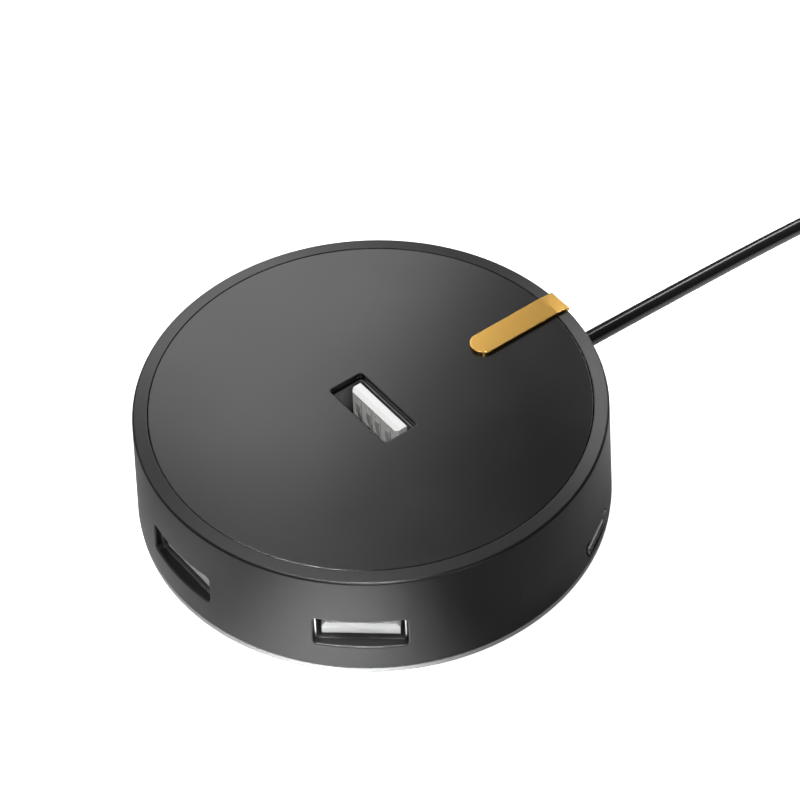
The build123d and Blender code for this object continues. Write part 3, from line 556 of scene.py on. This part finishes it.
# ---- Strap and plug ----------------------------------------------------------------------------
@dataclass
class Strap:
    """The hook-and-loop band round one side of the coil.

    Attributes:
        low: Lowest corner of the tie that it stands for.
        high: Its highest corner.
        thickness: The band's thickness, in millimetres.
    """

    low: Vector
    high: Vector
    thickness: float = 0.8

    def build(self) -> bpy.types.Object:
        """Make the band so that its outside fills the box of the tie that it stands for.

        Returns:
            The new object.
        """
        size = self.high - self.low
        centre = (self.high + self.low) / 2
        thick = self.thickness * MM
        piece = GrownPiece(
            "strap",
            {
                "Loop width": (NUMBER, size.x - thick),
                "Loop height": (NUMBER, size.z - thick),
                "Corner": (NUMBER, 1.4 * thick),
                "Thickness": (NUMBER, thick),
                "Band width": (NUMBER, size.y),
                "Centre": (PLACE, tuple(centre)),
            },
            fill_strap,
            STRAP_BLACK,
        ).build()
        sharpen(piece, 50.0)
        return piece


@dataclass
class PlugGrip:
    """The plug's moulded grip, lofted from the ringed neck to the pocket round the shell.

    Attributes:
        low: Lowest corner of the moulding that it stands for.
        high: Its highest corner.
        neck: Radius of the neck, in millimetres.
        groove: Depth of the grooves between the neck's rings.
        ring_start: Distance of the first groove from the rear, in millimetres.
        ring_pitch: Distance from one groove to the next, in millimetres.
        rib_count: Number of finger ribs.
    """

    low: Vector
    high: Vector
    neck: float = 2.8
    groove: float = 0.45
    ring_start: float = 1.3
    ring_pitch: float = 1.7
    rib_count: int = 7

    def sections(self) -> list[Section]:
        """Distance from the rear, half width, half height and corner of each section, in mm.

        Returns:
            The sections, from the rear of the neck to the bottom of the pocket round the shell.
        """
        neck = self.neck
        thin = neck - self.groove
        rings = [(0.0, thin, thin, thin), (0.35, neck, neck, neck)]
        for ring in range(4):
            start = self.ring_start + self.ring_pitch * ring
            rings += [
                (start, neck, neck, neck),
                (start + 0.15, thin, thin, thin),
                (start + 0.75, thin, thin, thin),
                (start + 0.9, neck, neck, neck),
            ]
        rings += [
            (8.0, neck, neck, neck),
            (8.25, 5.6, 3.1, 2.7),
            (8.7, 6.7, 3.6, 2.6),
            (9.6, 7.45, 3.9, 2.4),
            (11.5, 7.75, 4.0, 2.2),
            (16.0, 7.6, 3.95, 2.1),
            (22.0, 7.6, 3.95, 2.1),
            (27.0, 7.8, 4.0, 2.0),
            (31.2, 7.8, 4.0, 2.0),
            (31.7, 7.62, 3.82, 1.9),
            (32.0, 7.2, 3.45, 1.7),
            (32.0, 6.05, 2.3, 0.12),
            (28.0, 6.05, 2.3, 0.12),
        ]
        return rings

    def ring(self, section: Section) -> list[Vector]:
        """Points of one rounded rectangle, counter-clockwise round the plug's axis.

        Args:
            section: One of the sections.

        Returns:
            Its points, in metres.
        """
        along, half_width, half_height, corner = section
        middle = (self.low + self.high) / 2
        points = []
        for quarter, (side, rise) in enumerate(((1, 1), (-1, 1), (-1, -1), (1, -1))):
            for step in range(9):
                angle = math.pi / 2 * (quarter + step / 8)
                x = side * (half_width - corner) + corner * math.cos(angle)
                z = rise * (half_height - corner) + corner * math.sin(angle)
                points.append(
                    Vector((middle.x + x * MM, self.low.y + along * MM, middle.z + z * MM))
                )
        return points

    def build(self) -> bpy.types.Object:
        """Loft the grip.

        Returns:
            The new object.
        """
        builder = bmesh.new()
        rings = [[builder.verts.new(point) for point in self.ring(s)] for s in self.sections()]
        for before, after in zip(rings, rings[1:]):
            for index in range(len(before)):
                following = (index + 1) % len(before)
                builder.faces.new(
                    (before[index], before[following], after[following], after[index])
                )
        builder.faces.new(rings[0])
        builder.faces.new(rings[-1])
        piece = mesh_piece("plug_grip", builder, PLUG_BLACK)
        sharpen(piece, 38.0)
        return piece

    def ribs(self) -> bpy.types.Object:
        """Finger ribs across the top of the grip.

        Returns:
            The new object.
        """
        middle = (self.low + self.high) / 2
        first = (middle.x, self.low.y + 14.5 * MM, self.high.z - 0.25 * MM)
        piece = GrownPiece(
            "plug_ribs",
            {
                "Count": (COUNT, self.rib_count),
                "Pitch": (NUMBER, 1.5 * MM),
                "Length": (NUMBER, 9.0 * MM),
                "Radius": (NUMBER, 0.42 * MM),
                "First": (PLACE, first),
            },
            fill_ribs,
            PLUG_BLACK,
        ).build()
        sharpen(piece, 50.0)
        return piece


# ---- Cord ------------------------------------------------------------------------------------
@dataclass
class Cord:
    """The fixed cord: its lead from the hub, its tied coil and its tail to the plug.

    Attributes:
        diameter: The sheath's diameter, in millimetres.
        lead: Points from inside the hub to the coil.
        tail: Points from the coil to the plug.
        coil_centre: The coil's axis.
        turns_across: Turns side by side in one layer.
        layers: Layers of turns.
        middle_radius: Radius of the middle turn.
        points_per_turn: Control points in each turn.
        strap_lift: How far the lowest layer is lifted over the strap, in millimetres.
        strap_spread: Radians round the coil over which that lift dies away.
    """

    diameter: float = 2.5
    lead: tuple[Point, ...] = (
        (0.0, 23.6, 6.9),
        (0.0, 46.0, 6.4),
        (0.0, 80.0, 5.05),
        (0.0, 100.0, 2.9),
        (0.0, 107.5, 1.6),
    )
    tail: tuple[Point, ...] = (
        (0.0, 120.5, 8.6),
        (0.0, 130.0, 4.3),
        (0.0, 138.0, 4.0),
    )
    coil_centre: tuple[float, float] = (16.25, 112.0)
    turns_across: int = 3
    layers: int = 4
    middle_radius: float = 12.5
    points_per_turn: int = 16
    strap_lift: float = 0.8
    strap_spread: float = 0.45

    def coil(self) -> list[Point]:
        """Wind in and out by turns, rising by a diameter at each layer's end.

        Returns:
            The winding's points, in millimetres.
        """
        reach = self.turns_across * self.diameter / 2
        swell = 1 / math.cos(math.pi / self.points_per_turn)
        steps = self.turns_across * self.points_per_turn
        climb = self.points_per_turn // 4
        points = []
        for step in range(self.layers * steps + 1):
            layer, along = divmod(step, steps)
            share = along / steps
            stray = reach - 2 * reach * share
            radius = self.middle_radius + (stray if layer % 2 == 0 else -stray)
            rise = max(0.0, (along - steps + climb) / climb) if layer < self.layers - 1 else 0.0
            level = min(layer + rise, self.layers - 1)
            angle = math.pi - 2 * math.pi * step / self.points_per_turn
            x = self.coil_centre[0] + radius * swell * math.cos(angle)
            y = self.coil_centre[1] + radius * swell * math.sin(angle)
            points.append((x, y, self.level_height(level, angle)))
        return points

    def level_height(self, level: float, angle: float) -> float:
        """Height of a layer's middle, squeezed upwards where the strap passes under the coil.

        Args:
            level: The layer, counted from 0.
            angle: Angle round the coil, in radians.

        Returns:
            The height, in millimetres.
        """
        turn = math.remainder(angle, 2 * math.pi)
        near = math.exp(-((turn / self.strap_spread) ** 2))
        squeeze = near * self.strap_lift * (1 - level / (self.layers - 1))
        top = min(self.layers - 1, level)
        return self.diameter * (0.5 + top) + squeeze

    def build(self) -> bpy.types.Object:
        """Make the cord's curve.

        Returns:
            The curve object.
        """
        route = [*self.lead, *self.coil(), *self.tail]
        curve = bpy.data.curves.new("free_cord", "CURVE")
        curve.dimensions = "3D"
        curve.bevel_depth = self.diameter / 2 * MM
        curve.bevel_resolution = 4
        curve.resolution_u = 6
        curve.use_fill_caps = True
        spline = curve.splines.new("NURBS")
        spline.points.add(len(route) - 1)
        for point, place in zip(spline.points, route):
            point.co = (*(value * MM for value in place), 1.0)
        spline.order_u = 3
        spline.use_endpoint_u = True
        curve.materials.append(CORD_BLACK.build())
        piece = bpy.data.objects.new("free_cord", curve)
        bpy.context.scene.collection.objects.link(piece)
        return piece

    def length(self) -> float:
        """Length of the line through the control points, in metres; the curve is 1% shorter."""
        route = [Vector(point) for point in (*self.lead, *self.coil(), *self.tail)]
        return sum((after - before).length for before, after in zip(route, route[1:])) * MM


# ---- Studio ----------------------------------------------------------------------------------
@dataclass(frozen=True)
class CameraSetup:
    """Where the camera stands and how it is turned.

    Attributes:
        place: Its place, in millimetres.
        heading: Degrees from +Y to where it looks, counter-clockwise in plan.
        dip: Degrees that it looks down.
        roll: Degrees that it is turned about its own line of sight.
        lens: Focal length for a sensor 36 mm wide.
    """

    place: Point = (291.91, -203.73, 388.42)
    heading: float = 54.4
    dip: float = 46.02
    roll: float = -2.378
    lens: float = 160.08

    def build(self) -> None:
        """Make the camera and give it to the scene."""
        data = bpy.data.cameras.new("camera")
        data.sensor_width = 36.0
        data.lens = self.lens
        data.clip_start = 0.01
        data.clip_end = 20.0
        camera = bpy.data.objects.new("camera", data)
        turn = (
            Matrix.Rotation(math.radians(self.heading), 4, "Z")
            @ Matrix.Rotation(math.radians(90 - self.dip), 4, "X")
            @ Matrix.Rotation(math.radians(self.roll), 4, "Z")
        )
        camera.matrix_world = Matrix.Translation(Vector(self.place) * MM) @ turn
        bpy.context.scene.collection.objects.link(camera)
        bpy.context.scene.camera = camera


@dataclass(frozen=True)
class SoftLight:
    """A rectangular soft light.

    Attributes:
        name: The light's name.
        place: Its middle, in metres.
        aim: The point that it faces, in metres.
        size: Its width and height, in metres.
        power: Its power, in watts.
        spin: Degrees that it is turned about its own axis.
    """

    name: str
    place: Point
    aim: Point
    size: tuple[float, float]
    power: float
    spin: float = 0.0

    def build(self) -> None:
        """Make the light."""
        data = bpy.data.lights.new(self.name, "AREA")
        data.shape = "RECTANGLE"
        data.size, data.size_y = self.size
        data.energy = self.power
        light = bpy.data.objects.new(self.name, data)
        away = Vector(self.place) - Vector(self.aim)
        turn = away.to_track_quat("Z", "Y").to_matrix().to_4x4()
        spin = Matrix.Rotation(math.radians(self.spin), 4, "Z")
        light.matrix_world = Matrix.Translation(Vector(self.place)) @ turn @ spin
        bpy.context.scene.collection.objects.link(light)


@dataclass(frozen=True)
class LightPool:
    """A soft-edged spot that brightens the floor in front of the wall.

    Attributes:
        name: The light's name.
        bearing: Direction of the pool's middle from the hub's axis, in degrees from +X.
        reach: Distance of the pool's middle from the axis, in metres.
        radius: The pool's radius, in metres.
        power: Its power, in watts.
        height: Height of the lamp, in metres.
        lean: How far the lamp stands out past the pool, in metres.
    """

    name: str
    bearing: float
    reach: float
    radius: float
    power: float
    height: float = 0.6
    lean: float = 0.15

    def build(self) -> None:
        """Make the spot."""
        angle = math.radians(self.bearing)
        out = Vector((math.cos(angle), math.sin(angle), 0))
        target = out * self.reach
        place = out * (self.reach + self.lean) + Vector((0, 0, self.height))
        data = bpy.data.lights.new(self.name, "SPOT")
        data.energy = self.power
        data.spot_size = 2 * math.atan(self.radius / (place - target).length)
        data.spot_blend = 1.0
        data.shadow_soft_size = 0.01
        light = bpy.data.objects.new(self.name, data)
        turn = (place - target).to_track_quat("Z", "Y").to_matrix().to_4x4()
        light.matrix_world = Matrix.Translation(place) @ turn
        bpy.context.scene.collection.objects.link(light)


@dataclass
class Studio:
    """The floor, the lights and the camera.

    Attributes:
        ambient: Strength of the even light from all round.
        floor_side: Side of the square floor, in metres.
        floor_tone: The floor's reflectance.
    """

    ambient: float = 0.06
    floor_side: float = 8.0
    floor_tone: float = 0.85

    def world(self) -> None:
        """Even white light from all round."""
        world = bpy.data.worlds.new("studio")
        world.use_nodes = True
        bench = NodeBench(world.node_tree)
        sky = world.node_tree.nodes["Background"]
        sky.inputs["Color"].default_value = WHITE
        sky.inputs["Strength"].default_value = self.ambient
        backdrop = bench.add("ShaderNodeBackground", inputs={"Strength": 1.0})
        backdrop.inputs["Color"].default_value = WHITE
        mix = bench.add("ShaderNodeMixShader")
        seen = bench.add("ShaderNodeLightPath").outputs["Is Camera Ray"]
        bench.join(seen, mix.inputs["Fac"])
        bench.join(sky.outputs[0], mix.inputs[1])
        bench.join(backdrop.outputs[0], mix.inputs[2])
        bench.join(mix.outputs[0], world.node_tree.nodes["World Output"].inputs["Surface"])
        bpy.context.scene.world = world

    def floor(self) -> None:
        """A plain pale floor that reads as white."""
        builder = bmesh.new()
        bmesh.ops.create_grid(builder, x_segments=1, y_segments=1, size=self.floor_side / 2)
        mesh = bpy.data.meshes.new("floor")
        builder.to_mesh(mesh)
        builder.free()
        material = bpy.data.materials.new("Floor pale")
        material.use_nodes = True
        bench = NodeBench(material.node_tree)
        shader = material.node_tree.nodes["Principled BSDF"]
        shader.inputs["Roughness"].default_value = 0.9
        shader.inputs["Specular IOR Level"].default_value = 0.1
        shader.inputs["Emission Color"].default_value = WHITE
        noise = bench.add("ShaderNodeTexNoise", inputs={"Scale": 6.0})
        tone = bench.span(noise.outputs["Fac"], self.floor_tone - 0.01, self.floor_tone + 0.01)
        bench.join(tone, shader.inputs["Base Color"])
        seen = bench.add("ShaderNodeLightPath").outputs["Is Camera Ray"]
        bench.join(seen, shader.inputs["Emission Strength"])
        mesh.materials.append(material)
        floor = bpy.data.objects.new("floor", mesh)
        bpy.context.scene.collection.objects.link(floor)

    def lights(self) -> None:
        """The soft lights round the hub."""
        for light in (
            SoftLight(
                "back panel", (-0.167, 0.065, 0.136), (0.0, 0.0, 0.02), (0.09, 0.13), 0.115, 45.0
            ),
            SoftLight("front strip", (-0.128, 0.043, 0.292), (0.0, 0.0, 0.02), (0.13, 0.04), 0.085),
            SoftLight("right strip", (-0.114, 0.223, 0.202), (0.0, 0.0, 0.02), (0.04, 0.12), 0.19),
            SoftLight("key", (-0.62, -0.35, 0.55), (0.0, 0.0, 0.0), (0.3, 0.3), 0.8),
            SoftLight("low right", (0.7, 0.0, 0.08), (0.0, 0.0, 0.01), (0.2, 0.06), 0.4),
            LightPool("top pool", -125.0, 0.0, 0.05, 8.0, 0.8, 0.2),
            LightPool("front pool", -46.0, 0.047, 0.022, 60.0),
            LightPool("left pool", -82.0, 0.047, 0.03, 10.0),
            LightPool("front fill", -35.6, 0.0, 0.045, 9.0, 0.6, 0.58),
            LightPool("cord pool", 90.0, 0.078, 0.045, 20.0, 0.6, 0.0),
        ):
            light.build()

    def build(self) -> None:
        """Set up everything that isn't the object."""
        bpy.context.scene.view_settings.view_transform = "Standard"
        self.world()
        self.floor()
        self.lights()
        CameraSetup().build()


# ---- Whole object ----------------------------------------------------------------------------
@dataclass
class Casing:
    """The hub's own parts, which keep their shapes and get their finishes.

    Attributes:
        nodes: The parts by name.
    """

    nodes: dict[str, bpy.types.Object]

    def dress(self) -> None:
        """Give every part that keeps its shape its finish."""
        for name, node in self.nodes.items():
            finish = NODE_FINISHES.get(name)
            if finish is None:
                continue
            material = finish.build()
            if not node.material_slots:
                node.data.materials.append(material)
            for slot in node.material_slots:
                slot.material = material
            LOG.info("dressed %s in %s", name, finish.name)


def main(frame: dict) -> None:
    """Build the scene over the loaded frame.
    """
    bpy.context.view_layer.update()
    Casing(frame["nodes"]).dress()
    cord = Cord()
    free_cord = cord.build()
    strap = Strap(*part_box("coil_tie")).build()
    grip = PlugGrip(*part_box("plug_overmould"))
    plug_grip, plug_ribs = grip.build(), grip.ribs()
    for piece, slot in (
        (free_cord, "cord_black"),
        (strap, "tie_black"),
        (plug_grip, "plug_black"),
        (plug_ribs, "plug_black"),
    ):
        LOG.info("built %s", piece.name)
        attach(piece, "root")
    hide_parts("cord_lead", "cord_coil", "cord_tail")
    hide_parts("coil_tie")
    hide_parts("plug_overmould")
    LOG.info("cord of %.3f m", cord.length())
    Studio().build()


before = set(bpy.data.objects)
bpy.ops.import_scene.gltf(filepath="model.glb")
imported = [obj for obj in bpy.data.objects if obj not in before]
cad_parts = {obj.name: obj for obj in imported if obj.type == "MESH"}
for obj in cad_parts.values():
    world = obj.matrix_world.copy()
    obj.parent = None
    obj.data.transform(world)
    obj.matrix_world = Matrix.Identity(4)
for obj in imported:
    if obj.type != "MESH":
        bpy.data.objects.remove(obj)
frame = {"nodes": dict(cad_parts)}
if __name__ == "__main__":
    logging.basicConfig(level=logging.INFO)
    main(frame)
